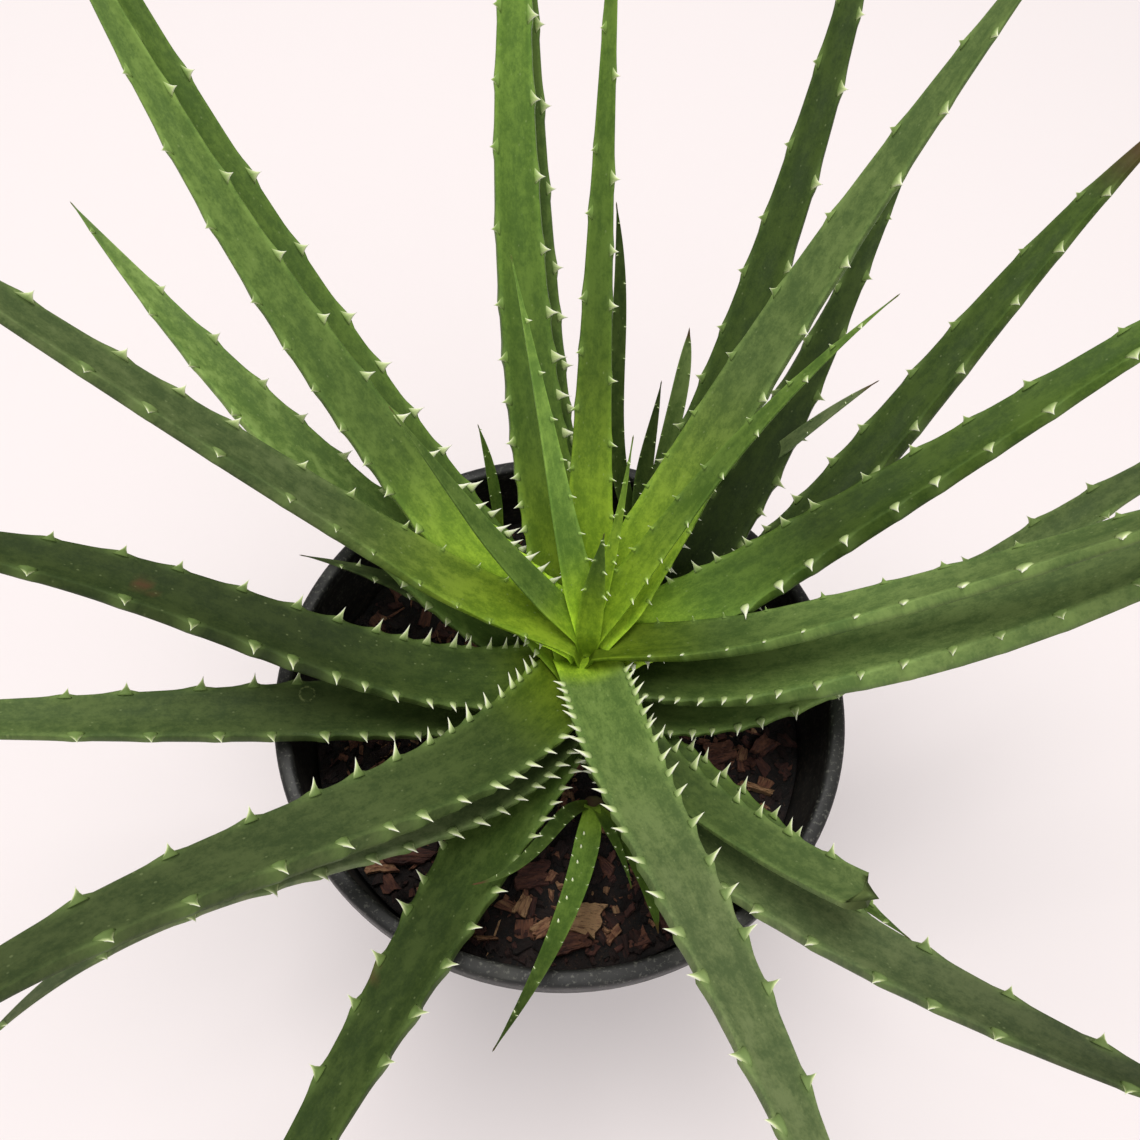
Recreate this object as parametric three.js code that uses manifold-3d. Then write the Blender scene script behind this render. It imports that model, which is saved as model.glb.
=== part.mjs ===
// A potted aloe: one spiny-edged rosette on a short stem, with three offsets, in a plastic nursery pot.
// Millimetres, +Z up. The origin is the middle of the pot's underside, and -Y is the front.
import * as THREE from 'three';
import { mergeVertices } from 'three/addons/utils/BufferGeometryUtils.js';
import Module from 'manifold-3d';

const wasm = await Module();
wasm.setup();

// ---- driving dimensions ----
const rimRadius = 100;
const potHeight = 170;
const potFootRadius = 72;
const potWall = 2;
const lipWidth = 5.5;
const lipHeight = 10;
const soilBelowRim = 30;
const gap = 0.3; // clearance between pieces that touch
const soilLevel = potHeight - soilBelowRim;

// Blade proportions, as shares of the blade's width or length
const bladeDepth = 0.42;
const channelDepth = 0.07;
const sheathShare = 0.1;
const sheathThinning = 0.4;
const toothLength = 5.4;
const crownReach = 60; // how far along a leaf the crown's leaning back is felt
const marginSharpness = 2.2; // how far a margin moves out for each unit that its faces move

// Where each rosette grows: foot at soil level, top of its stem, and the stem's radii.
// crownBack is how far the stem's top stands behind the place that the leaves spread from.
const rosettes = {
  main: { foot: [4, -3], top: [7, 8], height: 50, radius: 9, tipRadius: 5, depth: 60, crownBack: 6 },
  front: { foot: [15, -33], top: [14, -34], height: 9, radius: 4, tipRadius: 2.5, depth: 25 },
  back: { foot: [31, 72], top: [31, 73], height: 12, radius: 5, tipRadius: 3, depth: 25 },
  back_left: { foot: [-31, 76], top: [-31, 76], height: 5, radius: 3, tipRadius: 2, depth: 20 },
};

// Leaves, youngest first. Angles in degrees: heading from +X towards +Y, turn = heading gained by the tip,
// rise above level at the base, lift = rise gained by the tip, roll about the blade's own line.
// seat is the height of the leaf's base above the soil. taper 1 narrows evenly, higher stays broad longer.
const mainLeaves = [
  { name: 'heart', seat: 50, heading: 89, turn: -8, rise: 62, lift: 12,
    length: 48, width: 9.5, taper: 1.7 },
  { name: 'shoot_left', seat: 50, heading: 110, turn: 15, rise: 55, lift: 9,
    length: 131, width: 11.5, taper: 1.2 },
  { name: 'shoot_right', seat: 50, heading: 75, turn: 10, rise: 56, lift: 15,
    length: 79, width: 6, taper: 1.3 },
  { name: 'young_back', seat: 49, heading: 95.3, turn: -1, rise: 47, lift: 15,
    length: 246, width: 19.5, taper: 0.9 },
  { name: 'young_left', seat: 49, heading: 148, turn: 7, rise: 45, lift: 7,
    length: 105, width: 11, taper: 1.6 },
  { name: 'young_right', seat: 48, heading: 56, turn: -30, rise: 55, lift: -14,
    length: 148, width: 12, taper: 1.5 },
  { name: 'back_right', seat: 45, heading: 64, turn: -23, rise: 35, lift: 14,
    length: 280, width: 23, taper: 1.8 },
  { name: 'right', seat: 45, heading: 6, turn: 2, rise: 23, lift: 24, roll: -22,
    length: 294, width: 17.5, taper: 1.7 },
  { name: 'left_high', seat: 48, heading: 164.6, turn: 8, rise: 27, lift: 18, roll: 2,
    length: 319, width: 17.5, taper: 2 },
  { name: 'back_left', seat: 45, heading: 149.4, turn: -22, bow: -2, rise: 28, lift: 13, roll: -10,
    length: 314, width: 21.5, taper: 1.9 },
  { name: 'front', seat: 42, heading: -71, turn: -11, bow: 6, rise: 25, lift: 14.5,
    length: 218, width: 22.5, taper: 2.2 },
  { name: 'right_high', seat: 40, heading: 27.7, turn: -3, rise: 25, lift: 14,
    length: 320, width: 25, taper: 1.3 },
  { name: 'back', seat: 41, heading: 112, turn: -25, rise: 34, lift: 12,
    length: 312, width: 21, taper: 2.1 },
  { name: 'back_left_under', seat: 38, heading: 140, turn: -9, rise: 26, lift: 19,
    length: 336, width: 23, taper: 1.5 },
  { name: 'front_left', seat: 36, heading: -118, turn: 21, bow: -33, rise: 25, lift: 7,
    length: 256, width: 25, taper: 2 },
  { name: 'right_low', seat: 36, heading: -3, turn: 38, rise: 15, lift: 30, roll: -10,
    length: 300, width: 25, taper: 4.5 },
  { name: 'left', seat: 34, heading: -158.6, turn: 19, bow: -36, rise: 17, lift: 12,
    length: 241, width: 22.5, taper: 3.2 },
  { name: 'back_under', seat: 34, heading: 106, turn: -12, rise: 30, lift: 16,
    length: 325, width: 20.5, taper: 1.9 },
  { name: 'back_right_low', seat: 27, heading: 43.5, turn: 21, bow: 9, rise: 15, lift: 23.5, roll: 8,
    length: 225, width: 23, taper: 2.1 },
  { name: 'back_right_far', seat: 31, heading: 63, turn: 20, rise: 27.5, lift: 15, roll: -2,
    length: 324, width: 19, taper: 2.6 },
  { name: 'right_back', seat: 29, heading: 24, turn: 9, bow: 21, rise: 18, lift: 22, roll: 4,
    length: 284, width: 19.5, taper: 3.4 },
  { name: 'left_back', seat: 30, heading: 152, turn: -10, rise: 16, lift: 13,
    length: 235, width: 24.5, taper: 2.5 },
  { name: 'front_right', seat: 30, heading: -50, turn: 17, rise: 10, lift: 25,
    length: 121, width: 15.5, broken: true },
  { name: 'front_left_under', seat: 28, heading: -106, turn: 0.5, bow: -43, rise: 15.5, lift: 10, roll: 1,
    length: 203, width: 22, taper: 1.6 },
  { name: 'left_low', seat: 24, heading: -168, turn: 3, rise: 6, lift: 17,
    length: 294, width: 26.5, taper: 1.5 },
  { name: 'right_under', seat: 24, heading: -12, turn: 7, bow: 43, rise: 7.4, lift: 22,
    length: 303, width: 26, taper: 1.5 },
  { name: 'front_low', seat: 19, heading: -115, turn: 8, rise: 10, lift: 14, roll: 3,
    length: 235, width: 27.5, taper: 1.6 },
  { name: 'front_right_low', seat: 14, heading: -53.9, turn: 25, bow: 7.5, rise: 13.8, lift: 16.5, roll: -7,
    length: 234, width: 24, taper: 2.3 },
  { name: 'front_right_under', seat: 19, heading: -29, turn: -13, bow: -2.5, rise: 7.5, lift: 7, roll: -5,
    length: 129, width: 16.5, taper: 1.9 },
  { name: 'left_tuck', seat: 20, heading: 141, turn: 42, rise: 11, lift: 5,
    length: 109, width: 16.5, taper: 1.4 },
];
const offsetLeaves = {
  front: [
    { name: 'broad', seat: 7, heading: -92, turn: -24, bow: -3, rise: 27, lift: 6,
      length: 103, width: 9, taper: 1.9 },
    { name: 'steep', seat: 6, heading: -63, turn: -21, rise: 42, lift: 4.5,
      length: 53, width: 4.5, taper: 1.5 },
    { name: 'left', seat: 5, heading: -148, turn: -15, bow: 37, rise: 57, lift: -47,
      length: 66, width: 5.5, taper: 3.2 },
    { name: 'right', seat: 4, heading: -47, turn: -39, rise: 23, lift: 6.5,
      length: 57, width: 5.5, taper: 5 },
  ],
  back: [
    { name: 'centre', seat: 12, heading: 98.5, turn: -3, bow: -18, rise: 62, lift: 0.5,
      length: 88.5, width: 7, taper: 8 },
    { name: 'long', seat: 11, heading: 149, turn: -27, bow: -39, rise: 44.5, lift: 23,
      length: 134, width: 6.8, taper: 5 },
    { name: 'short', seat: 9, heading: 135, turn: -48.5, bow: -24, rise: 60, lift: 14.5,
      length: 74, width: 8.7, taper: 1.9 },
    { name: 'right', seat: 8, heading: 8.5, turn: -1.5, bow: 12.5, rise: 58, lift: -10,
      length: 112.5, width: 6.5, taper: 5 },
  ],
  back_left: [
    { name: 'single', seat: 6, heading: 105.5, turn: 41, bow: -5, rise: 70, lift: 2,
      length: 52.5, width: 5, taper: 3 },
  ],
};

// ---- small helpers ----
const radians = THREE.MathUtils.degToRad;

// Repeatable random numbers from 0 to 1
function randomSource(seed) {
  let state = seed;
  return () => {
    state = (state * 1664525 + 1013904223) % 4294967296;
    return state / 4294967296;
  };
}

function toSolid(geometry) {
  const bare = geometry.index ? geometry : geometry.clone();
  bare.deleteAttribute('normal');
  bare.deleteAttribute('uv');
  const merged = mergeVertices(bare, 1e-4);
  const mesh = new wasm.Mesh({
    numProp: 3,
    vertProperties: new Float32Array(merged.attributes.position.array),
    triVerts: new Uint32Array(merged.index.array),
  });
  return new wasm.Manifold(mesh);
}

function toGeometry(solid) {
  const mesh = solid.getMesh();
  const geometry = new THREE.BufferGeometry();
  geometry.setAttribute('position', new THREE.BufferAttribute(new Float32Array(mesh.vertProperties), 3));
  geometry.setIndex(new THREE.BufferAttribute(new Uint32Array(mesh.triVerts), 1));
  geometry.computeVertexNormals();
  return geometry;
}

// The largest closed body of a solid: cuts can leave small scraps behind
function largestBody(solid) {
  const bodies = solid.decompose();
  return bodies.reduce((best, body) => (body.volume() > best.volume() ? body : best));
}

// A closed skin through rings of points, each ring running the same way round, ended by two points
function skinRings(rings, firstPoint, lastPoint) {
  const sides = rings[0].length;
  const points = [firstPoint, ...rings.flat(), lastPoint];
  const index = [];
  for (let side = 0; side < sides; side++) {
    const next = (side + 1) % sides;
    index.push(0, 1 + next, 1 + side);
    for (let ring = 0; ring < rings.length - 1; ring++) {
      const near = 1 + ring * sides;
      const far = near + sides;
      index.push(near + side, near + next, far + next);
      index.push(near + side, far + next, far + side);
    }
    const last = 1 + (rings.length - 1) * sides;
    index.push(points.length - 1, last + side, last + next);
  }
  const geometry = new THREE.BufferGeometry().setFromPoints(points);
  geometry.setIndex(index);
  return geometry;
}

// ---- leaves ----
// The place and the three directions of a blade at a share of its length
function bladeFrames(row, start, steps) {
  const frames = [];
  const at = start.clone();
  const stride = row.length / steps;
  for (let step = 0; step <= steps; step++) {
    const share = step / steps;
    const easedBack = at.clone();
    easedBack.y -= row.crownBack * THREE.MathUtils.smoothstep(share * row.length, 0, crownReach);
    frames.push({ share, at: easedBack, ...bladeDirections(row, share) });
    const middle = bladeDirections(row, share + 0.5 / steps);
    at.addScaledVector(middle.along, stride);
  }
  return frames;
}

function bladeDirections(row, share) {
  const bowed = 4 * (row.bow ?? 0) * share * (1 - share);
  const heading = radians(row.heading + row.turn * share + bowed);
  const rise = radians(row.rise + row.lift * share);
  const along = new THREE.Vector3(
    Math.cos(rise) * Math.cos(heading),
    Math.cos(rise) * Math.sin(heading),
    Math.sin(rise),
  );
  const side = new THREE.Vector3(-Math.sin(heading), Math.cos(heading), 0);
  side.applyAxisAngle(along, radians(row.roll ?? 0));
  const up = new THREE.Vector3().crossVectors(along, side);
  return { along, side, up };
}

function halfWidthAt(row, share) {
  const tipHalfWidth = 0.35;
  const narrowed = row.broken ? 1 - 0.15 * share : 1 - share ** row.taper;
  const blade = 0.5 * row.width * narrowed;
  return Math.max(blade, tipHalfWidth);
}

function depthAt(row, share) {
  const grown = Math.min(share / sheathShare, 1);
  return 2 * halfWidthAt(row, share) * bladeDepth * (sheathThinning + (1 - sheathThinning) * grown);
}

// A point of a blade's skin, with its share of the blade's length
function skinPoint(frame, sideways, height) {
  const point = frame.at.clone().addScaledVector(frame.side, sideways).addScaledVector(frame.up, height);
  point.share = frame.share;
  return point;
}

// A point of the sharp margin on one side, edge -1 or 1. It moves out and up as the blade grows by extra.
function marginPoint(row, frame, edge, extra) {
  return skinPoint(frame, edge * (halfWidthAt(row, frame.share) + marginSharpness * extra), extra);
}

// Lines of points that run along the blade: the middle of its slightly hollow upper face,
// and the round underside from one margin to the other. The outer two of those are the margins.
function bladeLines(row, frames, extra) {
  const undersideSteps = row.width > 12 ? 5 : 4;
  const middle = frames.map((frame) => {
    return skinPoint(frame, 0, extra - channelDepth * halfWidthAt(row, frame.share) * 2);
  });
  const lines = [middle, frames.map((frame) => marginPoint(row, frame, -1, extra))];
  for (let step = 1; step < undersideSteps; step++) {
    const turn = Math.PI * step / undersideSteps;
    lines.push(frames.map((frame) => {
      const reach = halfWidthAt(row, frame.share) + extra;
      const depth = Math.sin(turn) * (depthAt(row, frame.share) + extra);
      return skinPoint(frame, -Math.cos(turn) * reach, -depth);
    }));
  }
  lines.push(frames.map((frame) => marginPoint(row, frame, 1, extra)));
  return lines;
}

// Triangles that fill the strip between two lines of points, taking the nearer share first
function fillStrip(triangles, line, nextLine) {
  let here = 0;
  let there = 0;
  while (here < line.length - 1 || there < nextLine.length - 1) {
    const hereShare = here < line.length - 1 ? line[here + 1].share : Infinity;
    const thereShare = there < nextLine.length - 1 ? nextLine[there + 1].share : Infinity;
    if (hereShare <= thereShare) {
      triangles.push([line[here], nextLine[there], line[here + 1]]);
      here += 1;
    } else {
      triangles.push([line[here], nextLine[there], nextLine[there + 1]]);
      there += 1;
    }
  }
}

// Teeth stand close together near the base and further apart along the blade
function toothShares(row, random) {
  const shares = [];
  let distance = 3 + row.width * 0.3;
  while (distance < row.length * 0.93) {
    shares.push(distance / row.length);
    const spacing = (8.5 + 15 * Math.min(distance / row.length, 0.6)) * row.toothSpacing;
    distance += spacing * (0.8 + 0.4 * random());
  }
  return shares;
}

// Three-sided teeth raised from one margin. Each has two roots on the margin, one on the upper face,
// and a point that stands out, up and back towards the blade's base. Returns the margin with its roots
// as the upper face and the underside meet it.
function raiseTeeth(triangles, row, frameAt, margin, edge, shares, extra) {
  let underside = [...margin];
  let upperFace = [...margin];
  for (const share of shares) {
    const half = halfWidthAt(row, share);
    const size = Math.min(1, half / 6 + 0.25) * row.toothScale;
    const rootReach = (1.5 * size + marginSharpness * extra) / row.length;
    const clearReach = (1.5 * size + marginSharpness * gap + 0.8) / row.length;
    const clearOfRoots = (point) => Math.abs(point.share - share) > clearReach;
    underside = underside.filter(clearOfRoots);
    upperFace = upperFace.filter(clearOfRoots);
    const roots = [share - rootReach, share + rootReach].map((rootShare) => {
      return marginPoint(row, frameAt(rootShare), edge, extra);
    });
    const frame = frameAt(share);
    const reach = half + marginSharpness * extra;
    const inward = Math.min(1.9 * size + 2 * marginSharpness * extra, 0.6 * reach);
    const sag = channelDepth * 2 * half * inward / reach;
    const inner = skinPoint(frame, edge * (reach - inward), extra - sag);
    const length = toothLength * size + 3 * extra;
    const point = skinPoint(frame, edge * (half + 0.72 * length), 0.6 * length);
    point.addScaledVector(frame.along, -0.3 * length);
    underside.push(...roots);
    upperFace.push(roots[0], inner, roots[1]);
    const faces = [[roots[0], point, inner], [point, roots[1], inner], [roots[0], roots[1], point]];
    triangles.push(...faces.map((face) => (edge < 0 ? face : [...face].reverse())));
  }
  const byShare = (one, other) => one.share - other.share;
  return { underside: underside.sort(byShare), upperFace: upperFace.sort(byShare) };
}

function meshFromTriangles(triangles) {
  const geometry = new THREE.BufferGeometry().setFromPoints(triangles.flat());
  return mergeVertices(geometry, 1e-5);
}

// A closed blade with teeth along both margins; extra makes it that much larger all round
function leafSolid(row, start, extra) {
  const random = randomSource(row.seed);
  const steps = Math.max(5, Math.round(row.length / 30));
  const frames = bladeFrames(row, start, steps);
  const fine = bladeFrames(row, start, steps * 64);
  const frameAt = (share) => fine[Math.round(share * steps * 64)];
  const lines = bladeLines(row, frames, extra);
  const triangles = [];
  const [middle, nearMargin] = lines;
  const farMargin = lines[lines.length - 1];
  const near = raiseTeeth(triangles, row, frameAt, nearMargin, -1, toothShares(row, random), extra);
  const far = raiseTeeth(triangles, row, frameAt, farMargin, 1, toothShares(row, random), extra);
  const ring = [near.underside, ...lines.slice(2, -1), far.underside];
  fillStrip(triangles, middle, near.upperFace);
  for (let line = 0; line < ring.length - 1; line++) {
    fillStrip(triangles, ring[line], ring[line + 1]);
  }
  fillStrip(triangles, far.upperFace, middle);
  const base = skinPoint(frames[0], 0, -0.4 * depthAt(row, 0)).addScaledVector(frames[0].along, -extra);
  const tip = skinPoint(frames[steps], 0, 0).addScaledVector(frames[steps].along, 1 + extra);
  for (let line = 0; line < lines.length; line++) {
    const here = lines[line];
    const next = lines[(line + 1) % lines.length];
    triangles.push([base, next[0], here[0]], [tip, here[steps], next[steps]]);
  }
  return toSolid(meshFromTriangles(triangles));
}

// ---- stems ----
function stemFrames(rosette) {
  const { foot, top, height, depth } = rosette;
  const steps = 6;
  const rings = [];
  for (let step = 0; step <= steps; step++) {
    const z = -depth + (height + depth) * step / steps;
    const share = Math.max(z / height, 0);
    rings.push({
      at: new THREE.Vector3(
        THREE.MathUtils.lerp(foot[0], top[0], share),
        THREE.MathUtils.lerp(foot[1], top[1], share),
        soilLevel + z,
      ),
      radius: THREE.MathUtils.lerp(rosette.radius, rosette.tipRadius, share),
    });
  }
  return rings;
}

function stemSolid(rosette, extra) {
  const sides = 8;
  const frames = stemFrames(rosette);
  const rings = frames.map((frame) => {
    const ring = [];
    for (let side = 0; side < sides; side++) {
      const turn = 2 * Math.PI * side / sides;
      const reach = frame.radius + extra;
      ring.push(new THREE.Vector3(Math.cos(turn) * reach, Math.sin(turn) * reach, 0).add(frame.at));
    }
    return ring;
  });
  const first = frames[0].at.clone();
  first.z -= 2 + extra;
  const last = frames[frames.length - 1].at.clone();
  last.z += 2 + extra;
  return toSolid(skinRings(rings, first, last));
}

// A leaf starts on its stem's skin, at its seat height, on the side that it heads for
function leafStart(row, rosette) {
  const share = THREE.MathUtils.clamp(row.seat / rosette.height, 0, 1);
  const reach = THREE.MathUtils.lerp(rosette.radius, rosette.tipRadius, share) * 0.6;
  const heading = radians(row.heading);
  return new THREE.Vector3(
    THREE.MathUtils.lerp(rosette.foot[0], rosette.top[0], share) + reach * Math.cos(heading),
    THREE.MathUtils.lerp(rosette.foot[1], rosette.top[1], share) + reach * Math.sin(heading),
    soilLevel + row.seat,
  );
}

// ---- pot ----
// Closed profile of the pot's wall, floor and down-turned lip, as [radius, height]
function potProfile() {
  const skirt = 1.8;
  const wallTop = rimRadius - lipWidth;
  const wallUnderLip = wallTop + potWall;
  return [
    [0, 0],
    [potFootRadius - 2, 0],
    [potFootRadius, 2],
    [wallUnderLip, potHeight - lipHeight - 4],
    [wallUnderLip, potHeight - 2.2],
    [rimRadius - skirt, potHeight - 2.2],
    [rimRadius - skirt, potHeight - lipHeight],
    [rimRadius, potHeight - lipHeight],
    [rimRadius, potHeight - 1],
    [rimRadius - 1, potHeight],
    [wallTop + 0.8, potHeight],
    [wallTop, potHeight - 0.8],
    [wallTop, potHeight - lipHeight - 4],
    [potFootRadius - potWall, potWall + 1],
    [0, potWall + 1],
  ];
}

function lathed(profile, segments) {
  const points = profile.map(([radius, height]) => new THREE.Vector2(radius, height));
  const geometry = new THREE.LatheGeometry(points, segments);
  geometry.rotateX(Math.PI / 2);
  return geometry;
}

function potSolid() {
  let pot = toSolid(lathed(potProfile(), 36));
  const holes = 5;
  const holeRadius = 6;
  const holeCircle = 46;
  for (let hole = 0; hole < holes; hole++) {
    const turn = 2 * Math.PI * hole / holes;
    const drill = new THREE.CylinderGeometry(holeRadius, holeRadius, 20, 8);
    drill.rotateX(Math.PI / 2);
    drill.translate(holeCircle * Math.cos(turn), holeCircle * Math.sin(turn), 0);
    pot = pot.subtract(toSolid(drill));
  }
  return pot;
}

// ---- soil ----
function soilHeightAt(x, y) {
  const mound = 3 * Math.exp(-(x * x + y * y) / 2500);
  const hollows = 1.4 * Math.sin(x / 11 + 1) * Math.cos(y / 9);
  const crumbs = 0.9 * Math.sin((x + y) / 5.5);
  return soilLevel - 2 + mound + hollows + crumbs;
}

function potInnerRadiusAt(z) {
  const top = potHeight - lipHeight - 4;
  const share = (z - potWall - 1) / (top - potWall - 1);
  return THREE.MathUtils.lerp(potFootRadius - potWall, rimRadius - lipWidth, Math.min(share, 1));
}

function soilBed() {
  const sides = 28;
  const ringCount = 6;
  const bottom = potWall + 1 + gap;
  const topRadius = potInnerRadiusAt(soilLevel - 4) - 1;
  const bottomRadius = potInnerRadiusAt(bottom) - 1;
  const ringAt = (radius, heightAt) => {
    const ring = [];
    for (let side = 0; side < sides; side++) {
      const turn = 2 * Math.PI * side / sides;
      const x = radius * Math.cos(turn);
      const y = radius * Math.sin(turn);
      ring.push(new THREE.Vector3(x, y, heightAt(x, y)));
    }
    return ring;
  };
  const rings = [ringAt(bottomRadius, () => bottom)];
  for (let ring = ringCount; ring > 0; ring--) {
    rings.push(ringAt(topRadius * ring / ringCount, soilHeightAt));
  }
  const centreTop = new THREE.Vector3(0, 0, soilHeightAt(0, 0));
  return toSolid(skinRings(rings, new THREE.Vector3(0, 0, bottom), centreTop));
}

// Bark chips lie on the soil, tilted, with their undersides sunk in
function barkChip(x, y, length, random) {
  const chip = new THREE.BoxGeometry(length, length * (0.35 + 0.4 * random()), 5 + 3 * random());
  const position = chip.attributes.position;
  chip.deleteAttribute('normal');
  chip.deleteAttribute('uv');
  const welded = mergeVertices(chip);
  for (let corner = 0; corner < welded.attributes.position.count; corner++) {
    const shrink = 0.75 + 0.25 * random();
    welded.attributes.position.setX(corner, welded.attributes.position.getX(corner) * shrink);
    welded.attributes.position.setY(corner, welded.attributes.position.getY(corner) * shrink);
  }
  welded.rotateX((random() - 0.5) * 0.5);
  welded.rotateY((random() - 0.5) * 0.5);
  welded.rotateZ(random() * Math.PI * 2);
  welded.translate(x, y, soilHeightAt(x, y) + 0.6);
  return toSolid(welded);
}

// Chips that stand out, as [x, y, length]; the others are scattered
const largeChips = [[16, -75, 21], [-8, -70, 17], [44, -34, 18], [-62, -49, 19], [-40, -46, 14], [60, 8, 16]];
const scatteredChips = 12;

function soilSolid(stems) {
  const random = randomSource(7);
  let soil = soilBed();
  for (const [x, y, length] of largeChips) {
    soil = soil.add(barkChip(x, y, length, random));
  }
  for (let chip = 0; chip < scatteredChips; chip++) {
    const turn = random() * Math.PI * 2;
    const radius = 20 + 62 * Math.sqrt(random());
    const length = 7 + 7 * random();
    soil = soil.add(barkChip(radius * Math.cos(turn), radius * Math.sin(turn), length, random));
  }
  for (const stem of stems) {
    soil = soil.subtract(stem);
  }
  return largestBody(soil);
}

// ---- assembly ----
const plant = new THREE.Group();

function addPiece(name, solid, color, roughness) {
  const material = new THREE.MeshStandardMaterial({ color, roughness, metalness: 0 });
  const mesh = new THREE.Mesh(toGeometry(solid), material);
  mesh.name = name;
  plant.add(mesh);
}

// Every leaf as a row with its own name, seed and tooth settings
function namedLeaves() {
  const leaves = [];
  const add = (row, rosetteName, settings) => {
    const prefix = rosetteName === 'main' ? 'leaf' : `offset_${rosetteName}_leaf`;
    const name = `${prefix}_${row.name}`;
    const { crownBack = 0, height } = rosettes[rosetteName];
    const lean = { crownBack: crownBack * row.seat / height };
    leaves.push({ ...settings, ...row, ...lean, name, rosetteName, seed: 11 + 7 * leaves.length });
  };
  mainLeaves.forEach((row, place) => {
    add(row, 'main', { age: place / mainLeaves.length, toothScale: 1, toothSpacing: 1.75 });
  });
  for (const [rosetteName, rows] of Object.entries(offsetLeaves)) {
    rows.forEach((row) => add(row, rosetteName, { age: 0.6, toothScale: 0.6, toothSpacing: 2.2 }));
  }
  return leaves;
}

// Leaves are yellow-green in the heart and darken with age
function leafGreen(leaf) {
  const young = new THREE.Color('#718b2f');
  const mature = new THREE.Color('#65773f');
  const old = new THREE.Color('#3f4c28');
  const matureAge = 0.35;
  if (leaf.age < matureAge) {
    return young.lerp(mature, leaf.age / matureAge);
  }
  return mature.lerp(old, (leaf.age - matureAge) / (1 - matureAge));
}

function boxesMeet(one, other) {
  const a = one.boundingBox();
  const b = other.boundingBox();
  return [0, 1, 2].every((axis) => a.min[axis] < b.max[axis] && b.min[axis] < a.max[axis]);
}

// Stems first, then leaves from the youngest: each is cut clear of all that stand inside it
function growPlant() {
  const clearances = [];
  const stemHoles = [];
  for (const [rosetteName, rosette] of Object.entries(rosettes)) {
    addPiece(`stem_${rosetteName}`, stemSolid(rosette, 0), '#8a9a58', 0.7);
    const hole = stemSolid(rosette, gap);
    stemHoles.push(hole);
    clearances.push(hole);
  }
  for (const leaf of namedLeaves()) {
    const start = leafStart(leaf, rosettes[leaf.rosetteName]);
    let solid = leafSolid(leaf, start, 0);
    for (const clearance of clearances) {
      if (boxesMeet(solid, clearance)) {
        solid = solid.subtract(clearance);
      }
    }
    addPiece(leaf.name, largestBody(solid), leafGreen(leaf), 0.55);
    clearances.push(leafSolid(leaf, start, gap));
  }
  return stemHoles;
}

const stemHoles = growPlant();
addPiece('soil', soilSolid(stemHoles), '#2a1c14', 0.95);
addPiece('pot', potSolid(), '#26272a', 0.5);

export default plant;
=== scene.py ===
import math
import random

import bpy
import numpy as np
from mathutils import Matrix, Vector, noise


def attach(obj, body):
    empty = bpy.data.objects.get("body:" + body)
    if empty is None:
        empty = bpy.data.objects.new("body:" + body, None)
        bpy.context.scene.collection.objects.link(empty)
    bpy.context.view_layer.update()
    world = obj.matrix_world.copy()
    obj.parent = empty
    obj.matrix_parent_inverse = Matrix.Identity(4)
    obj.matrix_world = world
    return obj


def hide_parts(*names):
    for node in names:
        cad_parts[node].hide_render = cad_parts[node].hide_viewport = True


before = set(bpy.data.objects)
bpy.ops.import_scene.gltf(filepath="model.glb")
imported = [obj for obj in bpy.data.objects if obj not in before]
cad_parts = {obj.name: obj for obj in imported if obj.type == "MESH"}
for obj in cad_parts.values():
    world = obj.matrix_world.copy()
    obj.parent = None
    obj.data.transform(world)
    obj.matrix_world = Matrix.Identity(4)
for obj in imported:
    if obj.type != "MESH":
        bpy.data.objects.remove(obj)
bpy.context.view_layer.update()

MM = 0.001
SOIL_LEVEL = 140.0
POT_HEIGHT = 170.0
RIM_RADIUS = 100.0
FOOT_RADIUS = 72.0
WALL = 2.0
LIP_WIDTH = 5.5
LIP_HEIGHT = 10.0

# Heights of the lip's lower rim, of the wall's turn to upright, and of the soil along the wall
LIP_FOOT = POT_HEIGHT - LIP_HEIGHT
WALL_TURN = LIP_FOOT - 4
SOIL_EDGE = SOIL_LEVEL - 4

# ---- the plant's plan, in mm and degrees ----
# foot, top, height, radius, tip radius, depth of each rosette's stem
ROSETTES = {
    "main": ((4, -3), (7, 8), 50, 9, 5, 60),
    "front": ((15, -33), (14, -34), 9, 4, 2.5, 25),
    "back": ((31, 72), (31, 73), 12, 5, 3, 25),
    "back_left": ((-31, 76), (-31, 76), 5, 3, 2, 20),
}

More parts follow.
